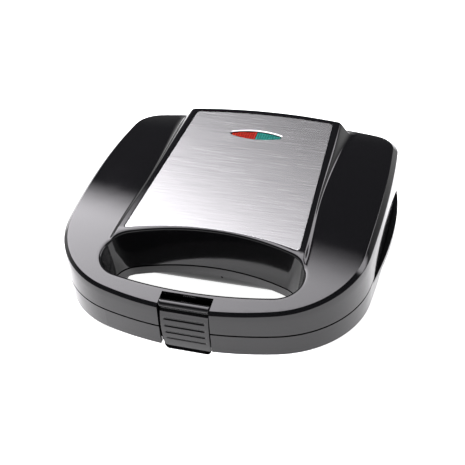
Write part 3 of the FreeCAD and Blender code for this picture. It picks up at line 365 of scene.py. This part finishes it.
def lid_height(x, y):
    """Height above the floor of the lid's top, in metres."""
    across, depth = abs(x) / MM, depth_mm(y)
    low, high = crown(depth), ridge(depth)
    top, foot = ridge_top_half(depth), ridge_foot_half(depth)
    side = 1 - flank_profile((across - top) / (foot - top))
    rear = 1 - flank_profile((depth - ridge_rear_edge(across)) / REAR_FLANK)
    front = ease(depth, *RAMP_RISE)
    return SEAM + (low + (high - low) * side * rear * front) * MM


# ---------------------------------------------------------------- mesh helpers

def new_piece(name, mesh, body, slot, *nodes):
    """Links a finished mesh as a piece that rides on a body and stands for CAD nodes."""
    piece = bpy.data.objects.new(name, mesh)
    bpy.context.scene.collection.objects.link(piece)
    mesh.materials.clear()
    mesh.materials.append(MATERIALS[slot])
    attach(piece, body)
    if nodes:
        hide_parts(*nodes)


def mesh_from(name, build):
    """A mesh made by a function that fills a bmesh."""
    made = bmesh.new()
    build(made)
    bmesh.ops.remove_doubles(made, verts=made.verts, dist=1e-7)
    bmesh.ops.recalc_face_normals(made, faces=made.faces)
    mesh = bpy.data.meshes.new(name)
    made.to_mesh(mesh)
    made.free()
    return mesh


def strip(made, first, second):
    """Quads between two closed rings of the same number of points."""
    a = [made.verts.new(p) for p in first]
    b = [made.verts.new(p) for p in second]
    for i in range(len(a)):
        j = (i + 1) % len(a)
        made.faces.new((a[i], a[j], b[j], b[i]))


def strips(made, rings):
    """Quads between each ring and the next."""
    for first, second in zip(rings, rings[1:]):
        strip(made, first, second)


def inside(points, outline):
    """Which plan points lie inside a closed outline."""
    px, py = points[:, 0][:, None], points[:, 1][:, None]
    x0, y0 = outline[:, 0][None], outline[:, 1][None]
    x1, y1 = np.roll(outline, -1, 0)[:, 0][None], np.roll(outline, -1, 0)[:, 1][None]
    spans = (y0 > py) != (y1 > py)
    with np.errstate(divide="ignore", invalid="ignore"):
        crossing = (x1 - x0) * (py - y0) / (y1 - y0) + x0
    return (spans & (px < crossing)).sum(1) % 2 == 1


def fill_plan(outer, hole, points):
    """Triangles over the plan between an outline and a hole, through extra points: vertices and triples."""
    loops = [np.array(outline) for outline in (outer, hole) if outline is not None]

    def within(plan):
        kept = inside(plan, loops[0])
        return kept & ~inside(plan, loops[1]) if len(loops) > 1 else kept

    edge, edges = np.vstack(loops), []
    for outline in loops:
        first, count = len(edges), len(outline)
        edges += [(first + i, first + (i + 1) % count) for i in range(count)]
    if len(points):
        points = np.array(points)
        points = points[within(points)]
        near = np.min(np.linalg.norm(points[:, None] - edge[None], axis=2), axis=1)
        edge = np.vstack([edge, points[near > 0.25 * SPACING]])
    found = delaunay_2d_cdt([Vector(p) for p in edge], edges, [], 0, 1e-9)
    verts, faces = np.array([tuple(v) for v in found[0]]), found[2]
    centres = np.array([verts[list(f)].mean(0) for f in faces])
    return verts, [f for f, kept in zip(faces, within(centres)) if kept]


def cut_away(piece_mesh, name, tools):
    """The mesh with every tool mesh taken away."""
    base = bpy.data.objects.new(name, piece_mesh)
    bpy.context.scene.collection.objects.link(base)
    cutters = []
    for tool in tools:
        cutter = bpy.data.objects.new("cutter", tool)
        bpy.context.scene.collection.objects.link(cutter)
        cutters.append(cutter)
        step = base.modifiers.new("cut", "BOOLEAN")
        step.operation, step.solver, step.object = "DIFFERENCE", "EXACT", cutter
    graph = bpy.context.evaluated_depsgraph_get()
    result = bpy.data.meshes.new_from_object(base.evaluated_get(graph))
    for extra in cutters + [base]:
        bpy.data.objects.remove(extra)
    return result


def column(outline, bottom, top):
    """A closed prism over a plan outline. bottom and top are heights, or functions of x and y."""
    def build(made):
        levels = []
        for level in (bottom, top):
            levels.append([(x, y, level(x, y) if callable(level) else level) for x, y in outline])
        strip(made, *levels)
        for level in levels:
            made.faces.new([made.verts.new(p) for p in level])
    return mesh_from("column", build)


def roller(near, far, y, z, radius, steps=48):
    """A closed cylinder along X between two places."""
    turns = [2 * math.pi * k / steps for k in range(steps)]

    def build(made):
        rings = [[(x, y + radius * math.cos(a), z + radius * math.sin(a)) for a in turns]
                 for x in (near, far)]
        strip(made, *rings)
        for end in rings:
            made.faces.new([made.verts.new(p) for p in end])

    return mesh_from("roller", build)


def smooth_by_angle(mesh, degrees=30):
    """Shades a mesh smooth except across edges sharper than the angle."""
    mesh.shade_smooth()
    mesh.set_sharp_from_angle(angle=math.radians(degrees))


# ---------------------------------------------------------------- upper casing

LID_FOOT = SEAM + 0.4 * MM
WALL = 2.6 * MM
WALL_HEIGHT = 28 * MM                # over which a wall's draft is measured
# Sizes of a rounded edge are its inset and its drop.
EDGE_FRONT, EDGE_SIDE = (2.3 * MM, 1.9 * MM), (4.0 * MM, 3.3 * MM)
LIP = (2.4 * MM, 2.0 * MM)
# Pairs are shares of a rounded edge's inset and drop.
BEVEL_PROFILE = ((1, 0), (0.97, 0.005), (0.93, 0.03), (0.88, 0.08), (0.5, 0.46), (0.12, 0.84), (0.06, 0.91),
                 (0.02, 0.97), (0, 1.06))
ROUND_PROFILE = tuple((1 - math.sin(math.pi * k / 14), 1 - math.cos(math.pi * k / 14)) for k in range(8))
FLANK_ROWS = (-0.12, 0, 0.08, 0.16, 0.29, 0.42, 0.55, 0.7, 0.85, 1.0, 1.15)  # as shares of a flank's width
REAR_ROWS = (-0.8, 0, 0.5, 1.0, 1.8, 2.5, 3.3, 4.2, 5.2, 6.2, 7.0)           # in millimetres behind the edge
NOTCH_HALF, NOTCH_REAR = 18.2 * MM, FRONT + 13.6 * MM
# The lower casing's knuckles, which the lid makes room for, lie between these places across.
BASE_KNUCKLES = ((49.6 * MM, 58.4 * MM), (69.6 * MM, 78.4 * MM))
KNUCKLE_ROOM = 6.8 * MM


def lid_edge_rings(top_outline, foot_outline, hand, profile, front_size, side_size, draft, foot_offset):
    """Rings from the lid's top over its edge and down a drafted wall to the seam.

    hand is 1 where the wall is outside the top and -1 round the loop, where it is inside. profile holds
    pairs of shares of the edge's inset and drop, which grow from one size at the handle to another along the
    sides.
    """
    lean = math.tan(math.radians(draft))
    top_offset = foot_offset - hand * lean * WALL_HEIGHT
    rings = []
    for across, down in profile:
        near, far = [top_outline(top_offset - hand * size[0] * across) for size in (front_size, side_size)]
        level = []
        for a, b in zip(near, far):
            share = ease(depth_mm(a[1]), 12, 95)
            x, y = a[0] + (b[0] - a[0]) * share, a[1] + (b[1] - a[1]) * share
            drop = front_size[1] + (side_size[1] - front_size[1]) * share
            level.append((x, y, lid_height(x, y) - drop * down))
        rings.append(level)
    wall_top = rings[-1]
    foot = [(x, y, LID_FOOT + 0.5 * MM) for x, y in foot_outline(foot_offset)]
    for share in (0.33, 0.67):
        rings.append([tuple(a + (b - a) * share for a, b in zip(p, q)) for p, q in zip(wall_top, foot)])
    rings.append(foot)
    rings.append([(x, y, LID_FOOT) for x, y in foot_outline(foot_offset - hand * 0.4 * MM)])
    return rings


def on_slope(across, depth):
    """Whether a place lies on the slopes at the ramp's sides or rear, or within 1.5 mm of them."""
    top, foot, rear = ridge_top_half(depth), ridge_foot_half(depth), ridge_rear_edge(across)
    at_side = top - 1.5 < across < foot + 1.5 and 42 < depth < 228
    at_rear = rear - 1.5 < depth < rear + REAR_FLANK + 1.5 and across < 70
    return at_side or at_rear


def lid_points():
    """Plan points of the lid's top: a staggered grid, with closer rows along the ramp's flanks and rear."""
    points = []

    def add_pair(x, y):
        """Adds a point and its mirror image."""
        points.extend([(x, y), (-x, y)])

    pitch = 2.4 * MM
    for row in range(int(240 * MM / pitch)):
        y = FRONT + row * pitch
        for number in range(int(116 * MM / pitch)):
            x = (number + 0.5 * (row % 2)) * pitch
            if not on_slope(x / MM, depth_mm(y)):
                add_pair(x, y)
    for row in range(150):
        depth = 43 + row * 1.2
        if depth > ridge_rear_edge(62) - 1:
            break
        top, foot = ridge_top_half(depth), ridge_foot_half(depth)
        for share in FLANK_ROWS:
            add_pair((top + share * (foot - top)) * MM, FRONT + depth * MM)
    for step in range(47):
        across = step * 1.5
        for behind in REAR_ROWS:
            add_pair(across * MM, FRONT + (ridge_rear_edge(across) + behind) * MM)
    return points


def lid_shell():
    """The hollow upper casing: crowned top with the panel ramp, rounded edges, outer wall and loop wall."""
    outer = lid_edge_rings(casing_ring, casing_ring, 1, BEVEL_PROFILE, EDGE_FRONT, EDGE_SIDE, 1.5, 0.0)
    loop = lid_edge_rings(loop_top_ring, loop_ring, -1, ROUND_PROFILE, LIP, LIP, 4.0, -2.1 * MM)
    top_outer = [p[:2] for p in outer[0]]
    top_loop = [p[:2] for p in loop[0]]
    verts, faces = fill_plan(top_outer, top_loop, lid_points())

    def build(made):
        for sink in (0.0, WALL):
            made_verts = [made.verts.new((x, y, lid_height(x, y) - sink)) for x, y in verts]
            for face in faces:
                made.faces.new([made_verts[i] for i in face])
        strips(made, outer)
        strips(made, loop)
        for rings, outline, inner_offset in ((outer, casing_ring, -WALL), (loop, loop_ring, 0.3 * MM)):
            under = [(x, y, z - WALL) for x, y, z in rings[0]]
            foot = [(x, y, LID_FOOT) for x, y in outline(inner_offset)]
            strips(made, [under, foot, rings[-1]])

    return mesh_from("lid_shell", build)


def panel_ring(offset, count=40):
    """The panel's outline: a concave front, sides that close in, a bowed rear and small round corners."""
    front, rear = FRONT + 62 * MM - offset, FRONT + 211.6 * MM + offset
    half_front, half_rear = 64.6 * MM + offset, 57 * MM + offset
    radius, corner, bow = 205 * MM, 3.4 * MM, 3.2 * MM
    rise = radius - math.sqrt(radius ** 2 - half_front ** 2)

    def front_edge(x):
        """The point of the front edge at a place across."""
        return x, front + rise - (radius - math.sqrt(radius ** 2 - x ** 2))

    def bend(start, peak, end):
        """Points round a corner, from start to end, that head for its peak."""
        ways = list(zip(start, peak, end))
        return [tuple((1 - t) ** 2 * a + 2 * t * (1 - t) * b + t * t * c for a, b, c in ways)
                for t in [k / 6 for k in range(7)]]

    lean = (half_front - half_rear) / (rear - front)
    along = [front_edge((half_front - corner) * (2 * i / count - 1)) for i in range(1, count)]
    reach = half_rear - corner
    front_side = (half_front - lean * corner, front + corner)
    half = bend(front_edge(half_front - corner), front_edge(half_front), front_side)
    half += bend((half_rear + lean * corner, rear - corner), (half_rear, rear), (reach, rear))
    behind = [(reach * share, rear + bow * (1 - share * share)) for share in np.linspace(0.9, -0.9, 19)]
    return along + half + behind + [(-x, y) for x, y in reversed(half)]


PANEL_GAP = 0.45 * MM                # round the panel, between its edge and its recess
PANEL_SINK = 0.9 * MM                # depth of the recess


def ramp(sink):
    """The ramp's plane lowered by sink, as a function of x and y."""
    return lambda x, y: SEAM + ridge(depth_mm(y)) * MM - sink


def make_lid():
    """The upper casing, cut out for the latch, the panel, the lens window and the lower casing's knuckles."""
    front, above = FRONT - 10 * MM, SEAM + 60 * MM
    notch = [(-NOTCH_HALF, front), (NOTCH_HALF, front), (NOTCH_HALF, NOTCH_REAR), (-NOTCH_HALF, NOTCH_REAR)]
    tools = [column(notch, SEAM - 10 * MM, above),
             column(panel_ring(PANEL_GAP), ramp(PANEL_SINK), above),
             column(lens_ring(-0.6 * MM), SEAM + 20 * MM, above)]
    for side in (-1, 1):
        for near, far in BASE_KNUCKLES:
            tools.append(roller(side * near, side * far, HINGE_Y, SEAM, KNUCKLE_ROOM))
    mesh = cut_away(lid_shell(), "upper_shell", tools)
    smooth_by_angle(mesh)
    new_piece("upper_shell", mesh, "lid", "casing_plastic", "upper_casing")


# ---------------------------------------------------------------- panel and lenses

PANEL_TOP = 0.1 * MM                 # how far the panel's face lies below the ramp's plane
# In millimetres: how far each ring of the panel's edge lies inside the outline and below the face, and how
# far each ring of the rim lies outside the lens's outline, below the face and to the rear.
PANEL_EDGE = ((0.4, 0), (0.2, 0.04), (0.06, 0.14), (0, 0.3), (0, 0.8))
LENS_RIM = ((0.7, 0, 0.3), (0.63, 0.03, 0.26), (0.1, 0.33, 0.03), (0, 0.4, 0), (0, 0.8, 0))


def add_plan_uv(mesh):
    """A UV map whose U runs along Y, across the brushing, which is the way the gloss spreads."""
    layer = mesh.uv_layers.new(name="plan")
    for corner in mesh.loops:
        x, y, _ = mesh.vertices[corner.vertex_index].co
        layer.data[corner.index].uv = (y * 4 + 0.5, 0.5 - x * 4)


def lifted(outline, surface, sink):
    """Plan points raised onto a surface of x and y and then lowered by sink."""
    return [(x, y, surface(x, y) - sink) for x, y in outline]


def rim_ring(outline, size, fall, rearward=0.0):
    """A ring of a panel edge: an outline offset by size, lowered by fall and moved to the rear."""
    top = ramp(PANEL_TOP + fall * MM)
    return [(x, y + rearward * MM, top(x, y + rearward * MM)) for x, y in outline(size * MM)]


def make_panel():
    """The brushed sheet, with softened edges round its outline and a dished rim round the lens opening."""
    outer = [rim_ring(panel_ring, -size, fall) for size, fall in PANEL_EDGE]
    inner = [rim_ring(lens_ring, size, fall, shift) for size, fall, shift in LENS_RIM]
    verts, faces = fill_plan([p[:2] for p in outer[0]], [p[:2] for p in inner[0]], [])
    top = ramp(PANEL_TOP)

    def build(made):
        level = [made.verts.new((x, y, top(x, y))) for x, y in verts]
        for face in faces:
            made.faces.new([level[i] for i in face])
        strips(made, outer)
        strips(made, inner)

    mesh = mesh_from("panel", build)
    add_plan_uv(mesh)
    smooth_by_angle(mesh, 20)
    for face in mesh.polygons:       # the triangles are the flat face, and the quads are its edges
        face.use_smooth = len(face.vertices) > 3
    new_piece("brushed_panel", mesh, "lid", "panel_steel", "decor_panel")


def make_lens(name, side, slot, node):
    """Half of the pointed lens, with small pyramids over its face."""
    pitch, height, gap, flange, thick = LENS_PITCH, 0.3 * MM, 0.1 * MM, 0.9 * MM, 1.8 * MM
    whole = lens_ring(flange)
    half = [(x, y) for x, y in whole if x * side > gap]
    near, far = [(side * gap, limit(p[1] for p in whole)) for limit in (min, max)]
    outline = half + [near, far] if side < 0 else [near] + half + [far]
    face = ramp(1.0 * MM)
    middle = FRONT + 186.5 * MM

    def relief(x, y):
        """Depth of the prismatic pattern: 0 at each pyramid's tip and its height between them."""
        u, v = abs((x / pitch) % 1 - 0.5) * 2, abs(((y - middle) / pitch) % 1 - 0.5) * 2
        return height * (0.75 * u + 0.25 * v)

    reach, step = 22 * MM, pitch / 2
    grid = [(i * step, middle + j * step) for i in range(int(-reach / step), int(reach / step) + 1)
            for j in range(-12, 13)]
    verts, faces = fill_plan(outline, None, grid)

    def build(made):
        level = [made.verts.new((x, y, face(x, y) - relief(x, y))) for x, y in verts]
        for triple in faces:
            made.faces.new([level[i] for i in triple])
        rim = [(x, y, face(x, y) - relief(x, y)) for x, y in outline]
        base = lifted(outline, face, thick)
        strips(made, [rim, base])
        made.faces.new([made.verts.new(p) for p in base])

    mesh = mesh_from(name, build)
    smooth_by_angle(mesh, 12)
    new_piece(name, mesh, "lid", slot, node)


# ---------------------------------------------------------------- latch

LATCH_HALF = 17.6                    # all of the latch's numbers are millimetres
GRIP_FOOT, GRIP_TOP, GRIP_DEPTH = -21.0, 12.0, 3.4    # the grip's face lies before its depth
GROOVES, GROOVE_TOP, GROOVE_PITCH, GROOVE_DEPTH = 4, 7.2, 5.8, 0.75


def groove_depth(height):
    """How far the grip's face is let in at a height, for its cross grooves, which are 2 mm wide."""
    nearest = min(abs(height - (GROOVE_TOP - GROOVE_PITCH * i)) for i in range(GROOVES))
    return GROOVE_DEPTH * max(0.0, 1 - nearest ** 2)


def latch_contour():
    """The clip's closed side profile as (depth, height): up its bowed face, over its crest, down its back."""
    bow = 120
    face = [(1.0 + (height + 2) ** 2 / bow, height) for height in np.arange(GRIP_FOOT, GRIP_TOP, 0.3)]
    crest = [(2.6, 12.8), (4.8, 14.4), (3.4, 15.8), (2.6, 17.2), (3.4, 18.9), (5.2, 19.9), (7.0, 19.8)]
    back = [(13.2, 13.6), (13.4, 12.4), (12.5, 10.4), (8.0, 10.0), (5.2, 8.0), (3.9, -15.6)]
    hook = [(4.4, -16.9), (4.2, -22.2), (3.6, -22.6), (2.6, -21.4)]
    return face + rounded_chain([face[-1]] + crest + back + hook + [face[0]], 1.1)


def rounded_chain(corners, radius, steps=5):
    """Points along a chain of (depth, height) corners, with each corner but the two ends rounded."""
    points = []
    for before, corner, after in zip(corners, corners[1:], corners[2:]):
        b, c, a = (np.array(p, float) for p in (before, corner, after))
        back, on = b - c, a - c
        reach = min(radius, 0.42 * np.linalg.norm(back), 0.42 * np.linalg.norm(on))
        start, end = c + back / np.linalg.norm(back) * reach, c + on / np.linalg.norm(on) * reach
        for k in range(steps + 1):
            share = k / steps
            points.append(tuple((1 - share) ** 2 * start + 2 * share * (1 - share) * c + share ** 2 * end))
    return points


def make_latch():
    """The clip: a rounded crest, a hollow under it, a grooved grip that narrows down and a hooked foot."""
    contour = latch_contour()
    corner_radius, edge_radius, margin, taper, middle = 6.0, 1.2, 2.6, 0.0007, 6.5
    foot, top = min(height for _, height in contour), 20
    steps = [0, 0.06, 0.15, 0.4, 0.8, 1.2, 1.8, 2.6, 3.1, 3.6, 4.3, 5.0] + list(range(6, 18))
    columns = sorted({round(side * (LATCH_HALF - step), 4) for side in (-1, 1) for step in steps} | {0.0})

    def build(made):
        rows = []
        for across in columns:
            to_side = LATCH_HALF - abs(across)
            corner = max(0.0, corner_radius - to_side)
            lowest = foot + corner_radius - math.sqrt(corner_radius ** 2 - corner ** 2)
            soft = max(0.0, edge_radius - to_side) / edge_radius
            pull = 0.8 * (1 - math.sqrt(max(0.0, 1 - soft * soft)))
            row = []
            for depth, height in contour:
                on_face = depth < GRIP_DEPTH and height < GRIP_TOP and to_side > margin
                groove = groove_depth(height) * min(1.0, to_side - margin) if on_face else 0.0
                towards = pull if depth < middle else -pull
                narrow = 1 - taper * (top - height)
                row.append(made.verts.new((across * narrow * MM, FRONT + (depth + groove + towards) * MM,
                                           SEAM + max(height, lowest) * MM)))
            rows.append(row)
        for a, b in zip(rows, rows[1:]):
            for i in range(len(contour)):
                j = (i + 1) % len(contour)
                made.faces.new((a[i], a[j], b[j], b[i]))
        made.faces.new(rows[0])
        made.faces.new(rows[-1])

    mesh = mesh_from("latch", build)
    smooth_by_angle(mesh, 38)
    new_piece("front_latch", mesh, "latch", "casing_plastic", "latch_clip")


# ---------------------------------------------------------------- hinge knuckles of the lid

def make_knuckles():
    """The lid's two hinge knuckles, each a barrel with an arm up into the casing's rear wall."""
    radius, chamfer = 6.0 * MM, 0.5 * MM
    near, far, arm_y, arm_top = 58.8 * MM, 69.2 * MM, FRONT + 222 * MM, SEAM + 12 * MM

    def barrel(reach, degrees):
        """Points round the hinge's axis."""
        turns = [math.radians(a) for a in degrees]
        return [(HINGE_Y + reach * math.cos(a), SEAM + reach * math.sin(a)) for a in turns]

    def build(made):
        for side in (-1, 1):
            rings = []
            for x, pull in ((near, chamfer), (near + chamfer, 0), (far - chamfer, 0), (far, chamfer)):
                rear = barrel(radius - pull, range(0, 100, 10))
                arm = [(HINGE_Y, arm_top - pull), (arm_y, arm_top - pull), (arm_y, SEAM + 0.8 * MM + pull)]
                low = barrel(radius - pull, range(190, 360, 10))
                rings.append([(side * x, y, z) for y, z in rear + arm + low])
            strips(made, rings)
            for end in (rings[0], rings[-1]):
                made.faces.new([made.verts.new(p) for p in end])

    mesh = mesh_from("knuckles", build)
    smooth_by_angle(mesh, 30)
    new_piece("lid_knuckles", mesh, "lid", "casing_plastic")


make_lid()
make_knuckles()
make_panel()
make_lens("red_lens_cap", -1, "red_lens_plastic", "red_lens")
make_lens("green_lens_cap", 1, "green_lens_plastic", "green_lens")
make_latch()


# ---------------------------------------------------------------- floor, light and camera

def flat_sheet(name, half_x, half_y, up):
    """A rectangle round the origin that faces up or down."""
    corners = [(-half_x, -half_y, 0), (half_x, -half_y, 0), (half_x, half_y, 0), (-half_x, half_y, 0)]
    if not up:
        corners = corners[:1] + corners[:0:-1]
    mesh = bpy.data.meshes.new(name)
    mesh.from_pydata(corners, [], [(0, 1, 2, 3)])
    sheet = bpy.data.objects.new(name, mesh)
    bpy.context.scene.collection.objects.link(sheet)
    return sheet


def make_floor():
    """A plain white floor under the feet, far larger than any view."""
    floor = flat_sheet("floor", 30.0, 30.0, True)
    material, tree, shader = start_material("floor_white")
    wire(tree, shader, Base_Color=(0.85, 0.85, 0.85, 1), Roughness=0.9,
         Emission_Color=(1, 1, 1, 1), Emission_Strength=0.95)
    floor.data.materials.append(material)


def make_softbox(name, centre, size, turn, radiance, edge, far_share=1.0):
    """A glowing sheet whose light fades out over a band at its rim. The camera doesn't see it.

    turn is in degrees. far_share is how much of the light is left 0.4 m along its local X, with the whole of
    it 0.4 m the other way.
    """
    half_x, half_y = size[0] / 2, size[1] / 2
    sheet = flat_sheet(name, half_x, half_y, False)
    turned = Euler([math.radians(a) for a in turn]).to_matrix().to_4x4()
    sheet.matrix_world = Matrix.Translation(centre) @ turned
    sheet.visible_camera = False
    material = bpy.data.materials.new(name)
    material.use_nodes = True
    tree = material.node_tree
    tree.nodes.clear()
    here = add(tree, "ShaderNodeSeparateXYZ", {"Vector": add(tree, "ShaderNodeTexCoord").outputs["Object"]})
    fades = []
    for axis, half in (("X", half_x), ("Y", half_y)):
        inputs = {"Value": calculate(tree, "ABSOLUTE", here.outputs[axis]), "From Min": half - edge,
                  "From Max": half, "To Min": 1.0, "To Max": 0.0}
        fade = add(tree, "ShaderNodeMapRange", inputs, interpolation_type="SMOOTHSTEP")
        fades.append(fade.outputs["Result"])
    falloff = spread(tree, here.outputs["X"], radiance, radiance * far_share, -0.4, 0.4)
    strength = calculate(tree, "MULTIPLY", calculate(tree, "MULTIPLY", *fades), falloff)
    light = add(tree, "ShaderNodeEmission", {"Color": (1.0, 0.975, 1.02, 1.0), "Strength": strength})
    output = tree.nodes.new("ShaderNodeOutputMaterial")
    tree.links.new(light.outputs["Emission"], output.inputs["Surface"])
    sheet.data.materials.append(material)


def make_world():
    """A studio that is dark above and pale near the floor."""
    world = bpy.data.worlds.new("studio")
    world.use_nodes = True
    tree = world.node_tree
    tree.nodes.clear()
    way = add(tree, "ShaderNodeTexCoord").outputs["Generated"]
    up = add(tree, "ShaderNodeSeparateXYZ", {"Vector": way}).outputs["Z"]
    sky = add(tree, "ShaderNodeValToRGB", {"Fac": up})
    levels = ((0.16, (0.9, 0.9, 0.9, 1)), (0.42, (0.05, 0.05, 0.052, 1)))
    for element, (position, colour) in zip(sky.color_ramp.elements, levels):
        element.position, element.color = position, colour
    back = add(tree, "ShaderNodeBackground", {"Color": sky.outputs["Color"], "Strength": 1.0})
    output = tree.nodes.new("ShaderNodeOutputWorld")
    tree.links.new(back.outputs["Background"], output.inputs["Surface"])
    bpy.context.scene.world = world


def make_camera():
    """The camera stands in front of the press, to its right, a little under half a metre above the floor."""
    right = Vector((0.955750, 0.287530, -0.062203))
    above = Vector((-0.127769, 0.596176, 0.792622))
    back = right.cross(above)
    data = bpy.data.cameras.new("camera")
    data.lens = 67.92
    data.sensor_width = 36.0
    camera = bpy.data.objects.new("camera", data)
    turn = Matrix((right, above, back)).transposed().to_4x4()
    camera.matrix_world = Matrix.Translation((0.17742, -0.50991, 0.44655)) @ turn
    bpy.context.scene.collection.objects.link(camera)
    bpy.context.scene.camera = camera


make_floor()
make_softbox("top_light", centre=(-0.57, 0.32, 1.2), size=(2.1, 1.34), turn=(0, 0, -24),
             radiance=9.6, edge=0.3, far_share=0.56)
make_softbox("side_light", centre=(1.04, 0.84, 0.94), size=(1.25, 0.76), turn=(90, 0, -50),
             radiance=5.0, edge=0.16)
make_world()
make_camera()
bpy.context.scene.view_settings.view_transform = "Standard"
